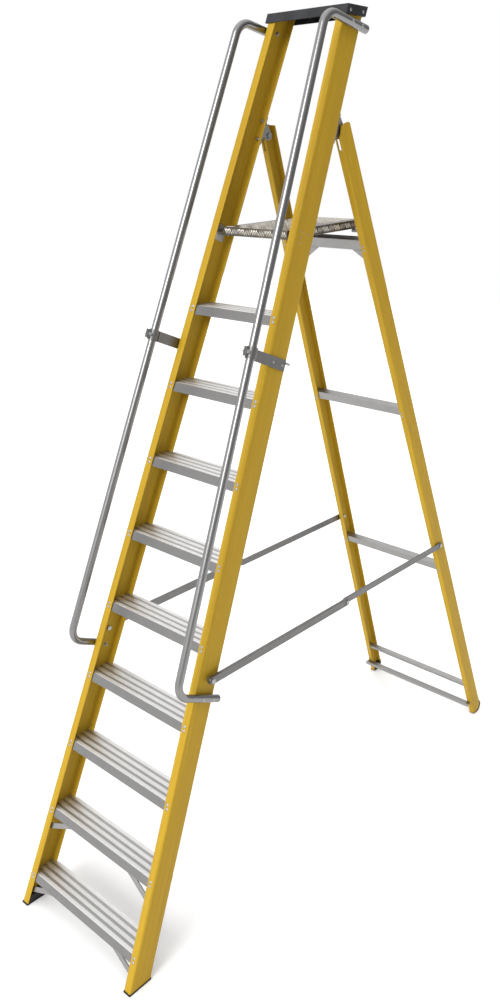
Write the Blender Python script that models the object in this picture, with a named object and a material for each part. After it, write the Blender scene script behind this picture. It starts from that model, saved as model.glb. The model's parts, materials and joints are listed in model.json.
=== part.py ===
"""Platform step ladder with handrails: fibreglass frames, aluminium treads, folding rear frame.

Metres, +Z up, the treads face -Y, the feet stand on Z = 0. Every named object is one solid sub-part.
Stile and leg parts are drawn in the frame of their own channel:
local x = out from the web, local y = depth from the front face, local z = along the channel.
"""
import math
import bpy
import bmesh
from mathutils import Matrix, Vector

for old in list(bpy.data.objects):
    bpy.data.objects.remove(old, do_unlink=True)

# ---------------------------------------------------------------- driving dimensions
GAP = 0.0003                       # fit clearance between touching parts
PITCH = 0.250                      # vertical distance between treads
FIRST_TREAD = 0.1217               # top of the lowest tread above the ground
TREADS = 9
LEAN_F = math.radians(21.80)       # front frame, from the vertical
LEAN_R = math.radians(22.02)       # rear frame, from the vertical
WALL = 0.004                       # fibreglass wall

HALF_F = 0.31025                   # front frame half width at the ground, outside the webs
TAPER_F = 0.0511                   # half width lost per metre of height
FLANGE_F = 0.031
DEPTH_F = 0.0876
STILE_TOP = 3.0160
SOLE = 0.006                       # rubber under every foot

HALF_R = 0.31785
TAPER_R = 0.0545
FLANGE_R = 0.0243
DEPTH_R = 0.0645
REAR_Y = 2.2457                    # front face of the rear legs at the ground
LEG_TOP = 2.854                    # pivot, measured along the leg
HEEL_R = 0.033                     # rounding of the rear feet
HEEL_SOLE = 0.003

TREAD_DEPTH = 0.0943
TREAD_FACE = 0.030
TREAD_WALL = 0.0026

CAP_HALF = 0.1668
CAP_TOP = 3.020
CAP_SKIRT = 0.029

TUBE_R = 0.0134
TUBE_WALL = 0.0018
RAIL_OUT = 0.1050                  # handrail axis in front of the stile face
RAIL_LOW, RAIL_HIGH = 1.0375, 3.2245   # cut ends, along the stile
RAIL_FLARE_LOW, RAIL_FLARE_HIGH = 3.5, 12.0   # degrees by which the bends fall short of a right angle
RAIL_TAIL = 0.097                  # cut ends, depth from the stile face
RAIL_BEND = 0.055
RAIL_MID = 2.150                   # middle bracket

STAY_S = 1.104                     # stay pivots, along the stile and along the leg
STAY_REAR_S = 1.107
STAY_SPLIT = 0.725                 # front half, pivot to knuckle

DECK_ROD = (0.985, 2.352)          # platform hinge rod (y, z)
DECK_TILT = math.radians(2.5)
DECK_FRONT, DECK_BACK = -0.0245, 0.385
DECK_HALF_F, DECK_HALF_R = 0.140, 0.128
DECK_TOP = 0.020                   # deck surface above the rod axis

DATUM_Y = 1.1500                   # drawn from the front feet, stored from the middle of the base

sa, ca = math.sin(LEAN_F), math.cos(LEAN_F)
sb, cb = math.sin(LEAN_R), math.cos(LEAN_R)
ta, tb = math.tan(LEAN_F), math.tan(LEAN_R)


def half_f(z):
    return HALF_F - TAPER_F * z


def half_r(z):
    return HALF_R - TAPER_R * z


def frame(origin, along, depth):
    along, depth = Vector(along).normalized(), Vector(depth).normalized()
    out = depth.cross(along)
    m = Matrix((out, depth, along)).transposed().to_4x4()
    m.translation = Vector(origin)
    return m


STILE = frame((HALF_F, 0, 0), (-TAPER_F, ta, 1), (0, ca, -sa))
LEG = frame((HALF_R, REAR_Y, 0), (-TAPER_R, -tb, 1), (0, cb, sb))
LEG_K = 1 / math.sqrt(TAPER_R ** 2 + tb ** 2 + 1) / cb
# ---------------------------------------------------------------- materials


def material(name, rgb, rough, metal=0.0):
    m = bpy.data.materials.new(name)
    m.use_nodes = True
    p = m.node_tree.nodes["Principled BSDF"]
    p.inputs["Base Color"].default_value = (*rgb, 1)
    p.inputs["Roughness"].default_value = rough
    p.inputs["Metallic"].default_value = metal
    m.diffuse_color = (*rgb, 1)
    return m


YELLOW = material("fibreglass", (0.55, 0.36, 0.045), 0.45)
ALLOY = material("aluminium", (0.52, 0.52, 0.53), 0.35, 1.0)
STEEL = material("steel", (0.42, 0.43, 0.46), 0.4, 1.0)
RUBBER = material("rubber", (0.02, 0.02, 0.02), 0.8)
BLACK = material("plastic", (0.035, 0.037, 0.042), 0.5)
# ---------------------------------------------------------------- mesh helpers


def make(name, bm, mat, m=None, pivot=None):
    """Mesh object from a bmesh; pivot is the world point its origin sits on."""
    if m is not None:
        bm.transform(m)
    if pivot is not None:
        bm.transform(Matrix.Translation(-Vector(pivot)))
    bmesh.ops.recalc_face_normals(bm, faces=bm.faces)
    me = bpy.data.meshes.new(name)
    bm.to_mesh(me)
    bm.free()
    me.materials.append(mat)
    ob = bpy.data.objects.new(name, me)
    bpy.context.scene.collection.objects.link(ob)
    if pivot is not None:
        ob.location = pivot
    return ob


def prism(poly, a, b, axis="z"):
    """Closed prism of a 2-D polygon. axis z: (x, y); axis x: (y, z)."""
    bm = bmesh.new()
    put = (lambda p, t: (p[0], p[1], t)) if axis == "z" else (lambda p, t: (t, p[0], p[1]))
    lo = [bm.verts.new(put(p, a)) for p in poly]
    hi = [bm.verts.new(put(p, b)) for p in poly]
    n = len(poly)
    for i in range(n):
        j = (i + 1) % n
        bm.faces.new((lo[i], lo[j], hi[j], hi[i]))
    bm.faces.new(lo[::-1])
    bm.faces.new(hi)
    return bm


def box(x0, x1, y0, y1, z0, z1):
    return prism([(x0, y0), (x1, y0), (x1, y1), (x0, y1)], z0, z1)


def disc(cy, cz, r, a, b, n=20):
    turn = [2 * math.pi * i / n for i in range(n)]
    ring = [(cy + r * math.cos(a), cz + r * math.sin(a)) for a in turn]
    return prism(ring, a, b, "x")


def turned(cy, cz, steps, n=18):
    """Stepped pin about an X axis: steps = [(x, r), ...] from one end to the other."""
    bm = bmesh.new()
    rings = []
    for x, r in steps:
        rings.append([bm.verts.new((x, cy + r * math.cos(2 * math.pi * i / n),
                                    cz + r * math.sin(2 * math.pi * i / n))) for i in range(n)])
    for a, b in zip(rings, rings[1:]):
        for i in range(n):
            j = (i + 1) % n
            bm.faces.new((a[i], a[j], b[j], b[i]))
    bm.faces.new(rings[0][::-1])
    bm.faces.new(rings[-1])
    return bm


def arc(cx, cy, r, a0, a1, n=4):
    return [(cx + r * math.cos(math.radians(a0 + (a1 - a0) * i / n)),
             cy + r * math.sin(math.radians(a0 + (a1 - a0) * i / n))) for i in range(n + 1)]


def channel(flange, depth, t, r=0.0045):
    """C section, web outer face on x = 0, flanges towards -x, front face on y = 0."""
    ri = max(r - t, 0.0012)
    e = t * 0.35
    poly = [(-flange, e), (-flange + e, 0)] + arc(-r, r, r, -90, 0)
    poly += arc(-r, depth - r, r, 0, 90) + [(-flange + e, depth), (-flange, depth - e)]
    poly += [(-flange, depth - t)] + arc(-t - ri, depth - t - ri, ri, 90, 0, 2)
    poly += arc(-t - ri, t + ri, ri, 0, -90, 2) + [(-flange, t)]
    return poly


def cut_plane(bm, co, no):
    """Keep the side of the plane the normal points away from, and cap the cut."""
    geom = bm.verts[:] + bm.edges[:] + bm.faces[:]
    res = bmesh.ops.bisect_plane(bm, geom=geom, plane_co=co, plane_no=no, clear_outer=True, dist=1e-7)
    edges = [e for e in res["geom_cut"] if isinstance(e, bmesh.types.BMEdge)]
    bmesh.ops.contextual_create(bm, geom=edges)


def boolean(ob, tools, op="DIFFERENCE"):
    for bm in tools:
        tool = make("tool", bm, ob.data.materials[0])
        tool.hide_render = True
        tool.display_type = "WIRE"
        mod = ob.modifiers.new("b", "BOOLEAN")
        mod.solver = "EXACT"
        mod.operation = op
        mod.object = tool
        bpy.context.view_layer.update()
        dg = bpy.context.evaluated_depsgraph_get()
        me = bpy.data.meshes.new_from_object(ob.evaluated_get(dg))
        ob.modifiers.clear()
        old = ob.data
        ob.data = me
        me.name = ob.name
        bpy.data.meshes.remove(old)
        bpy.data.objects.remove(tool, do_unlink=True)
    return ob


def moved(bm, m):
    bm.transform(m)
    return bm


def mirrored(ob, name):
    """Left-hand twin of a right-hand part, across X = 0."""
    me = ob.data.copy()
    me.name = name
    me.transform(Matrix.Diagonal((-1, 1, 1, 1)))
    me.flip_normals()
    twin = bpy.data.objects.new(name, me)
    bpy.context.scene.collection.objects.link(twin)
    twin.location = (-ob.location.x, ob.location.y, ob.location.z)
    return twin


def both(ob):
    """A part built on the right; adds its left twin."""
    mirrored(ob, ob.name.replace("_right", "_left"))


def at_stile(s, u, v=0.0):
    return STILE @ Vector((v, u, s))


def at_leg(s, u, v=0.0):
    return LEG @ Vector((v, u, s))


PIVOT = at_leg(LEG_TOP, DEPTH_R / 2)
STAY_A = at_stile(STAY_S, DEPTH_F / 2)
STAY_B = at_leg(STAY_REAR_S, 0.028)
PIN_R, HOLE_R = 0.0050, 0.0053
REST_R = 0.0060
HINGE_R = 0.0060
# ---------------------------------------------------------------- front frame
bm = prism(channel(FLANGE_F, DEPTH_F, WALL), -0.1, 3.5)
bm.transform(STILE)
cut_plane(bm, (0, 0, STILE_TOP), (0, 0, 1))
cut_plane(bm, (0, 0, SOLE + GAP), (0, 0, -1))
stile = make("front_stile_right", bm, YELLOW)
boolean(stile, [disc(STAY_A.y, STAY_A.z, HOLE_R, 0.2, 0.3)])
both(stile)

# rubber foot: sole plate and plug inside the channel
poly = [(-FLANGE_F - 0.001, -0.001), (0.0015, -0.001), (0.0015, DEPTH_F + 0.001),
        (-FLANGE_F - 0.001, DEPTH_F + 0.001)]
bm = moved(prism(poly, -0.1, 0.2), STILE)
cut_plane(bm, (0, 0, SOLE), (0, 0, 1))
cut_plane(bm, (0, 0, 0), (0, 0, -1))
foot = make("front_foot_right", bm, RUBBER)
inner = WALL + GAP + 0.0002
plug = [(-FLANGE_F + 0.001, inner), (-inner - 0.001, inner), (-inner, inner + 0.001),
        (-inner, DEPTH_F - inner - 0.001), (-inner - 0.001, DEPTH_F - inner),
         (-FLANGE_F + 0.001, DEPTH_F - inner)]
bm = moved(prism(plug, -0.1, 0.3), STILE)
cut_plane(bm, (0, 0, 0.034), (0, 0, 1))
cut_plane(bm, (0, 0, 0.003), (0, 0, -1))
boolean(foot, [bm], "UNION")
both(foot)

# treads: ribbed inverted channels, ends inside the stiles
for k in range(1, TREADS + 1):
    z = FIRST_TREAD + PITCH * (k - 1)
    y0 = z * ta + WALL / ca + 0.0006
    d, h, t = TREAD_DEPTH, TREAD_FACE, TREAD_WALL
    band, groove, low = (TREAD_DEPTH - 0.030) / 4, 0.010, 0.0013
    top = [(0, -0.0012), (0.0012, 0)]
    for g in range(3):
        a = band * (g + 1) + groove * g
        top += [(a, 0), (a + 0.0006, -low), (a + groove - 0.0006, -low), (a + groove, 0)]
    top += [(d - 0.0012, 0), (d, -0.0012)]
    under = [(d - h * ta, -h), (d - h * ta - t, -h), (d - t - 0.005 * ta, -t - 0.0012),
             (t + 0.0002, -t - 0.0012),
             (t - h * ta, -h), (-h * ta, -h)]
    poly = [(y0 + y, z + q) for y, q in top + under]
    xe = half_f(z) - WALL - 0.0040
    tread = make("tread_%d" % k, prism(poly, -xe, xe, "x"), ALLOY)
    flange = z * ta + (DEPTH_F - WALL) / ca - 0.0006
    notch = [(flange + 0.03 * ta, z + 0.03), (flange + 0.1, z + 0.03), (flange + 0.1, z - 0.06),
             (flange - 0.06 * ta, z - 0.06)]
    xm = half_f(z) - FLANGE_F - 0.0028
    boolean(tread, [prism(notch, xm, 0.4, "x"), prism(notch, -0.4, -xm, "x")])

# knee braces under the two lowest treads: flat straps behind the front flange
for k in (1, 2):
    z = FIRST_TREAD + PITCH * (k - 1) - TREAD_FACE
    x = half_f(z)
    u0 = WALL + TREAD_WALL + 0.0028
    hi = Vector((x - 0.150, z + 0.011))
    lo = Vector((x - 0.0220, z - 0.035)) if k == 1 else Vector((x - 0.0120, z - 0.046))
    run = (lo - hi).normalized()
    side = Vector((-run.y, run.x)) * 0.009
    corners = [hi - side, lo - side, lo + side, hi + side]
    bm = bmesh.new()
    rows = []
    for u in (u0, u0 + 0.003):
        rows.append([bm.verts.new((c.x, c.y * ta + u / ca, c.y)) for c in corners])
    a, b = rows
    for i in range(4):
        j = (i + 1) % 4
        bm.faces.new((a[i], a[j], b[j], b[i]))
    bm.faces.new(a[::-1])
    bm.faces.new(b)
    cut_plane(bm, (0, 0, z + TREAD_FACE - TREAD_WALL - 0.0020), (0, 0, 1))
    both(make("knee_brace_%d_right" % k, bm, ALLOY))

# top cap: black channel turned down over the stile tops
xi = half_f(CAP_TOP - CAP_SKIRT) + 0.0012
z0, front, back = CAP_TOP - CAP_SKIRT, -0.0008, DEPTH_F / ca + 0.0008


def cap_section(grow, zlo, zhi):
    """Parallelogram leaning with the stiles."""
    ends = [(front - grow, zlo), (back + grow, zlo), (back + grow, zhi), (front - grow, zhi)]
    return [(y + z * ta, z) for y, z in ends]


cap = make("top_cap", prism(cap_section(0.0036, z0, CAP_TOP), -CAP_HALF, CAP_HALF, "x"), BLACK)
boolean(cap, [prism(cap_section(0, z0 - 0.01, CAP_TOP - 0.0036), -xi, xi, "x")])

# handrails: round tube bent back to the stile at both ends


def rail_end(tail, flare, way):
    """Tail and bend up to the straight run, as (depth, along); way is 1 at the bottom, -1 at the top."""
    e, r, u0 = math.radians(flare), RAIL_BEND, -RAIL_OUT
    start = tail + way * math.tan(e) * (RAIL_TAIL - (u0 + r - r * math.sin(e)))
    centre = start + way * r * math.cos(e)
    pts = [(RAIL_TAIL, tail)]
    for i in range(9):
        a = (math.pi / 2 - e) * (1 - i / 8)
        pts.append((u0 + r - r * math.cos(a), centre - way * r * math.sin(a)))
    return pts


def rail_path():
    v0, v1 = TUBE_R + 0.0008, TUBE_R + 0.0042
    bottom, top = rail_end(RAIL_LOW, RAIL_FLARE_LOW, 1), rail_end(RAIL_HIGH, RAIL_FLARE_HIGH, -1)
    a, b = bottom[-1][1], top[-1][1]
    straight = [(-RAIL_OUT, a + (b - a) * i / 4) for i in range(1, 4)]
    slope = (v1 - v0) / (RAIL_HIGH - RAIL_LOW)
    return [Vector((v0 + slope * (s - RAIL_LOW), u, s)) for u, s in bottom + straight + top[::-1]]


def tube(path, r, wall, n=16):
    bm = bmesh.new()
    side = Vector((1, 0, 0))
    rings = []
    for i, p in enumerate(path):
        a = path[max(i - 1, 0)]
        b = path[min(i + 1, len(path) - 1)]
        t = (b - a).normalized()
        e1 = (side - t * side.dot(t)).normalized()
        e2 = t.cross(e1)
        for rr in (r, r - wall):
            rings.append([bm.verts.new(p + e1 * rr * math.cos(2 * math.pi * k / n) + e2 * rr *
                                       math.sin(2 * math.pi * k / n)) for k in range(n)])
    outer, inner_ = rings[0::2], rings[1::2]
    for set_ in (outer, inner_):
        for a, b in zip(set_, set_[1:]):
            for k in range(n):
                j = (k + 1) % n
                bm.faces.new((a[k], a[j], b[j], b[k]))
    for a, b in ((outer[0], inner_[0]), (outer[-1], inner_[-1])):
        for k in range(n):
            j = (k + 1) % n
            bm.faces.new((a[k], a[j], b[j], b[k]))
    return bm


path = rail_path()
both(make("handrail_right", tube(path, TUBE_R, TUBE_WALL), ALLOY, STILE))

# middle bracket: strap along the web, clamped round the tube
v = TUBE_R + 0.0008 + 0.0034 * (RAIL_MID - RAIL_LOW) / (RAIL_HIGH - RAIL_LOW)
hw = 0.018
ring = arc(v, -RAIL_OUT, TUBE_R + 0.0042, 0, 360, 24)[:-1]
bracket = make("handrail_bracket_right", moved(prism(ring, RAIL_MID - hw, RAIL_MID + hw), STILE), STEEL)
strap = [(0.0008, -RAIL_OUT + 0.0125), (0.0046, -RAIL_OUT + 0.0125), (0.0046, 0.082), (0.0008, 0.082)]
boolean(bracket, [moved(prism(strap, RAIL_MID - hw, RAIL_MID + hw), STILE)], "UNION")
hole = arc(v, -RAIL_OUT, TUBE_R + 0.0005, 0, 360, 24)[:-1]
boolean(bracket, [moved(prism(hole, RAIL_MID - 0.03, RAIL_MID + 0.03), STILE)])
both(bracket)

# rear hinge brackets: plate on the rear flange, lug reaching into the rear leg
s0, s1 = 2.868, 2.961
base_in = DEPTH_F + 0.0004
bm = moved(box(-0.0290, -0.0030, base_in, base_in + 0.004, s0, s1), STILE)
hinge = make("hinge_bracket_right", bm, STEEL)
lug_x = half_r(PIVOT.z) - 0.0150
pv = STILE.inverted() @ PIVOT
outline = [(base_in + 0.002, s0 + 0.011), (base_in + 0.002, s1 - 0.001)]
tip = [(pv.y + 0.0135 * math.cos(math.radians(a)), pv.z + 0.0135 * math.sin(math.radians(a)))
       for a in (62, 35, 0, -35, -62)]
pts = [outline[1]] + tip + [outline[0]]
flat = [(STILE @ Vector((0, u, s))) for u, s in pts]
boolean(hinge, [prism([(p.y, p.z) for p in flat], lug_x, lug_x + 0.005, "x")], "UNION")
boolean(hinge, [disc(PIVOT.y, PIVOT.z, HINGE_R + GAP, 0.1, 0.2)])
both(hinge)
wx = half_r(PIVOT.z)
wx_pin = wx - 0.0016               # the pin's bore stops short of the web's outer face
steps = [(lug_x - 0.0045, 0.0100), (lug_x - 0.0005, 0.0100), (lug_x - 0.0005, HINGE_R),
         (wx_pin - GAP, HINGE_R)]
both(make("hinge_pin_right", turned(PIVOT.y, PIVOT.z, steps), STEEL, pivot=(wx, PIVOT.y, PIVOT.z)))
# ---------------------------------------------------------------- rear frame
bm = moved(prism(channel(FLANGE_R, DEPTH_R, WALL), -0.1, LEG_TOP + 0.06), LEG)
cut_plane(bm, (0, 0, HEEL_SOLE + GAP), (0, 0, -1))
leg = make("rear_leg_right", bm, YELLOW)


def leg_cutter(outline, v0, v1):
    """Prism over an outline in (depth, along), between two local x values of the leg frame."""
    cut = bmesh.new()
    lo = [cut.verts.new((v0, u, s)) for u, s in outline]
    hi = [cut.verts.new((v1, u, s)) for u, s in outline]
    for i in range(len(outline)):
        j = (i + 1) % len(outline)
        cut.faces.new((lo[i], lo[j], hi[j], hi[i]))
    cut.faces.new(lo[::-1])
    cut.faces.new(hi)
    return moved(cut, LEG)


def on_leg(y, z):
    """(depth, along) of a world (y, z) point on the leg."""
    u = (y - REAR_Y) * cb + z * sb
    return u, (z - u * sb) / (cb * LEG_K)


def heel(rad, base, proud, n=8):
    """Rounding between the ground line z = base and the rear face line, from the rear face down."""
    line = REAR_Y + DEPTH_R / cb + proud / cb
    cz = base + rad
    cy = line - cz * tb - rad / cb
    a0, a1 = LEAN_R, -math.pi / 2
    return [(cy + rad * math.cos(a0 + (a1 - a0) * i / n), cz + rad * math.sin(a0 + (a1 - a0) * i / n))
            for i in range(n + 1)]


ends = heel(HEEL_R + 0.005, HEEL_SOLE + GAP, 0)
beyond = [(ends[0][0] + 0.05, ends[0][1]), (ends[0][0] + 0.05, -0.05), (ends[-1][0], -0.05)] + ends[::-1]
top = LEG_TOP + 0.031
above = [(-0.02, LEG_TOP), (0.0001, LEG_TOP), (0.020, top), (0.052, top), (DEPTH_R - 0.003, top - 0.006),
         (DEPTH_R + 0.002, top - 0.018), (DEPTH_R + 0.03, top - 0.018), (DEPTH_R + 0.03, LEG_TOP + 0.1),
         (-0.02, LEG_TOP + 0.1)]
notch = LEG_TOP - 0.040
LUG_SLOT = -0.0182, -0.0078          # slot in the front flange, round the hinge lug
front_top = [(-0.01, notch), (WALL + 0.003, notch), (WALL + 0.003, LEG_TOP + 0.1), (-0.01, LEG_TOP + 0.1)]
boolean(leg, [leg_cutter(above, -0.06, 0.02), leg_cutter(front_top, *LUG_SLOT),
              leg_cutter([on_leg(y, z) for y, z in beyond], -0.06, 0.02)])
boolean(leg, [disc(PIVOT.y, PIVOT.z, HINGE_R + GAP, 0.1, wx_pin), disc(STAY_B.y, STAY_B.z, HOLE_R, 0.2, 0.3)])
both(leg)

# rear rubber feet: thin sole that runs up round the heel, with a plug inside the channel
outer = heel(HEEL_R, -0.0015, 0.0014)
inner_heel = heel(HEEL_R + 0.005 + GAP, HEEL_SOLE, GAP)
up = 0.006
poly = [(REAR_Y - 0.0015, -0.0015)] + outer[::-1] + [(outer[0][0] - up * tb, outer[0][1] + up)]
poly += [(inner_heel[0][0], inner_heel[0][1])] + inner_heel[1:] + [(REAR_Y - 0.0015, HEEL_SOLE)]
bm = leg_cutter([on_leg(y, z) for y, z in poly], -FLANGE_R - 0.001, 0.0015)
cut_plane(bm, (0, 0, 0), (0, 0, -1))
foot = make("rear_foot_right", bm, RUBBER)
ui, uo = WALL + 0.0013, DEPTH_R - WALL - 0.0013
shell = heel(HEEL_R, 0.0015, 0)
core = [on_leg(y, z) for y, z in shell[::-1]]
core = [(u, q) for u, q in core if u < uo - 0.0005]
base = on_leg(REAR_Y + 0.006, 0.0015)
plug = [base] + core + [(uo, core[-1][1] + 0.004), (uo, 0.022), (ui, 0.016), (ui, base[1] + 0.004)]
boolean(foot, [leg_cutter(plug, -FLANGE_R + 0.001, -WALL - 0.0013)], "UNION")
both(foot)

# crossbars: inverted channels, ends inside the legs against the rear flanges
BARS = ((1, 2.508, 0.037, 0.0300), (2, 1.823, 0.033, 0.0300), (3, 1.006, 0.033, 0.0300),
        (4, 0.206, 0.016, 0.0240))
for n, s, h, d in BARS:
    u0 = WALL + 0.0006
    t = 0.0025
    ring = [(u0, s - h), (u0, s - 0.0012), (u0 + 0.0012, s), (u0 + d - 0.0012, s), (u0 + d, s - 0.0012),
            (u0 + d, s - h), (u0 + d - t, s - h), (u0 + d - t, s - t), (u0 + t, s - t), (u0 + t, s - h)]
    flat = [at_leg(q, u) for u, q in ring]
    xe = half_r(flat[2].z) - WALL - 0.0026
    make("rear_bar_%d" % n, prism([(p.y, p.z) for p in flat], -xe, xe, "x"), ALLOY)
# gusset plates under the upper crossbar, the left one larger
s, h = 2.508, 0.037
z = at_leg(s - h, 0).z
xw = half_r(z) - WALL - 0.0030
ga = s - h - 0.0008
for name, way, reach, drop in (("gusset_right", 1, 0.058, 0.035), ("gusset_left", -1, 0.164, 0.100)):
    pts = [(xw - reach, ga), (xw, ga), (xw, ga - drop), (xw - 0.012, ga - drop)]
    pts = [(way * x, q) for x, q in pts][::way]
    bm = bmesh.new()
    rows = []
    for u in (WALL + 0.0006, WALL + 0.0031):
        rows.append([bm.verts.new((x, at_leg(q, u).y, at_leg(q, u).z)) for x, q in pts])
    a, b = rows
    for i in range(4):
        j = (i + 1) % 4
        bm.faces.new((a[i], a[j], b[j], b[i]))
    bm.faces.new(a[::-1])
    bm.faces.new(b)
    make(name, bm, ALLOY)
# pins in the legs that the platform's side flanges rest on
rest_y = REAR_Y - 0.9127
under_z = DECK_ROD[1] + (rest_y - DECK_ROD[0]) * math.tan(DECK_TILT)
under_z += (DECK_TOP - 0.028) / math.cos(DECK_TILT)
rest_z = under_z - REST_R / math.cos(DECK_TILT) - GAP
wx = half_r(rest_z + REST_R) - WALL - 0.0016
steps = [(0.1180, REST_R - 0.001), (0.1190, REST_R), (0.1560, REST_R), (0.1560, 0.0085), (0.1590, 0.0085),
         (0.1590, REST_R), (wx, REST_R)]
both(make("deck_rest_right", turned(rest_y, rest_z, steps), STEEL))
# flat bar across the front of the leg ends
z0, z1 = 0.066, 0.080
yb = REAR_Y - z1 * tb - GAP
bm = prism([(yb - 0.028, z0 + 0.002), (yb - 0.026, z1), (yb, z1), (yb, z1 - 0.003), (yb - 0.0245, z1 - 0.003),
            (yb - 0.0250, z0), (yb - 0.028, z0)], -0.3115, 0.3115, "x")
make("rear_front_bar", bm, ALLOY)
# ---------------------------------------------------------------- folding stays
dirn = Vector((0, STAY_B.y - STAY_A.y, STAY_B.z - STAY_A.z))
dirn.normalize()
KNUCKLE = Vector((0, STAY_A.y, STAY_A.z)) + dirn * STAY_SPLIT


def bar_outline(a, b, hw):
    """Stadium outline between two (y, z) points."""
    ax = math.degrees(math.atan2(b[1] - a[1], b[0] - a[0]))
    return arc(b[0], b[1], hw, ax - 90, ax + 90, 8) + arc(a[0], a[1], hw, ax + 90, ax + 270, 8)


A2, B2, K2 = (STAY_A.y, STAY_A.z), (STAY_B.y, STAY_B.z), (KNUCKLE.y, KNUCKLE.z)
XR0, XR1 = 0.2637, 0.2687            # rear half
XF0, XF1 = 0.2694, 0.2814            # front half
bm = prism(bar_outline(A2, K2, 0.0140), XF0, XF1, "x")
front_half = make("stay_front_right", bm, ALLOY, pivot=(XF0, STAY_A.y, STAY_A.z))
boolean(front_half, [disc(*A2, HOLE_R, 0.2, 0.35), disc(*K2, HOLE_R, 0.2, 0.35)])
both(front_half)
bm = prism(bar_outline(K2, B2, 0.0135), XR0, XR1, "x")
rear_half = make("stay_rear_right", bm, ALLOY, pivot=(XR0, STAY_B.y, STAY_B.z))
boolean(rear_half, [disc(*B2, HOLE_R, 0.2, 0.35)])
both(rear_half)
wx = half_f(STAY_A.z)
steps = [(wx - 0.0100, 0.0085), (wx - 0.0056, 0.0085), (wx - 0.0056, PIN_R), (wx + 0.0008, PIN_R),
         (wx + 0.0008, 0.0090), (XF0 - GAP, 0.0090), (XF0 - GAP, PIN_R), (XF1 + GAP, PIN_R),
         (XF1 + GAP, 0.0085), (XF1 + 0.0040, 0.0085)]
both(make("stay_pin_front_right", turned(*A2, steps), STEEL, pivot=(wx, *A2)))
wx = half_r(STAY_B.z)
steps = [(wx - 0.0100, 0.0085), (wx - 0.0056, 0.0085), (wx - 0.0056, PIN_R), (XR1 + GAP, PIN_R),
         (XR1 + GAP, 0.0085), (XR1 + 0.0040, 0.0085)]
both(make("stay_pin_rear_right", turned(*B2, steps), STEEL, pivot=(wx, *B2)))
steps = [(XF0 - GAP, PIN_R), (XF1 + GAP, PIN_R), (XF1 + GAP, 0.0085), (XF1 + 0.0040, 0.0085)]
both(make("knuckle_pin_right", turned(*K2, steps), STEEL, pivot=(XF0, *K2)))
# ---------------------------------------------------------------- platform
ry, rz = DECK_ROD
turn = Matrix.Translation((0, ry, rz)) @ Matrix.Rotation(DECK_TILT, 4, "X")
t = 0.003


def deck_outline(inset, z0, z1):
    """Tapered box in the frame of the hinge rod."""
    f, b = DECK_FRONT + inset, DECK_BACK - inset
    pts = [(-DECK_HALF_F + inset, f), (DECK_HALF_F - inset, f), (DECK_HALF_R - inset, b),
           (-DECK_HALF_R + inset, b)]
    return prism(pts, z0, z1)


deck = make("platform", moved(deck_outline(0, DECK_TOP - 0.028, DECK_TOP), turn), ALLOY)
boolean(deck, [moved(deck_outline(t, DECK_TOP - 0.05, DECK_TOP - t), turn),
               disc(ry, rz, HINGE_R + GAP, -0.2, 0.2)])
rod_end = half_f(rz) - WALL - 0.0060
bm = turned(ry, rz, [(-rod_end, HINGE_R), (rod_end, HINGE_R)])
make("platform_rod", bm, STEEL, pivot=(0, ry, rz))
# rod brackets: plate on the inside of the web with a boss that carries the rod
hub = STILE.inverted() @ Vector((half_f(rz), ry, rz))
v1 = -WALL - 0.0006
plate = moved(box(v1 - 0.003, v1, hub.y - 0.026, hub.y + 0.024, hub.z - 0.030, hub.z + 0.024), STILE)
br = make("rod_bracket_right", plate, STEEL)
boolean(br, [disc(ry, rz, 0.0125, 0.1440, rod_end + 0.0040)], "UNION")
boolean(br, [disc(ry, rz, HINGE_R + GAP, 0.1, rod_end + 0.0004)])
both(br)
# ------------------------------------------------ datum: origin on the ground, mid way front to back
for ob in bpy.context.scene.objects:
    ob.location.y -= DATUM_Y
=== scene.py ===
"""Looks of a folding platform step ladder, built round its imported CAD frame.

Metres, +Z up. The climber faces +Y. Every stile part is made in the frame of its own channel:
local x = out from the web, local y = depth behind the front face, local z = along the channel.
"""
import json
import math

import bmesh
import bpy
from mathutils import Matrix, Vector


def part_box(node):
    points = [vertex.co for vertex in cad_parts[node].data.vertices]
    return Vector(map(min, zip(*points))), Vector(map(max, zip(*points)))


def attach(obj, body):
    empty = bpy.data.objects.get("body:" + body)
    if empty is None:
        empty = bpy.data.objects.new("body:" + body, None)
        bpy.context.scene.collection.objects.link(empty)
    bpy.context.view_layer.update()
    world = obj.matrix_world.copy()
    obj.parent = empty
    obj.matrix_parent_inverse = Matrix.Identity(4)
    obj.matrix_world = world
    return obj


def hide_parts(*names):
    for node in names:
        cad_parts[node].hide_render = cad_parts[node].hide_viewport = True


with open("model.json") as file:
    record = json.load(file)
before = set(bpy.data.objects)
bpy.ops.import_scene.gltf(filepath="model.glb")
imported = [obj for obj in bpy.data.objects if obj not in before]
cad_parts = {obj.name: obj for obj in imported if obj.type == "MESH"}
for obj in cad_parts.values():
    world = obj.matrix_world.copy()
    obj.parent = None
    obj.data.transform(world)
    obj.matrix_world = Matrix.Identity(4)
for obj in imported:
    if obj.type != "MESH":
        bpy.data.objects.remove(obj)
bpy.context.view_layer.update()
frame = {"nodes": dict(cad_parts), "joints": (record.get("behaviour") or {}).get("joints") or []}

scene = bpy.context.scene

# ---------------------------------------------------------------- sizes, most of them read from the frame


def low(node):
    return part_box(node)[0]


def high(node):
    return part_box(node)[1]


TREADS = 9

# _F is the front frame and _R the rear one; run and taper are the lean along Y and in x per metre of height
tread_rise = high("tread_9").z - high("tread_1").z
RUN_F = (low("tread_9").y - low("tread_1").y) / tread_rise
TAPER_F = (high("tread_1").x - high("tread_9").x) / tread_rise
HALF_F = high("front_stile_right").x + TAPER_F * low("front_stile_right").z
FRONT_Y = low("front_stile_right").y - RUN_F * low("front_stile_right").z
SOLE = low("front_stile_right").z
STILE_TOP = high("front_stile_right").z
FLANGE_F, DEPTH_F, WALL = 0.031, 0.0876, 0.004

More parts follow.
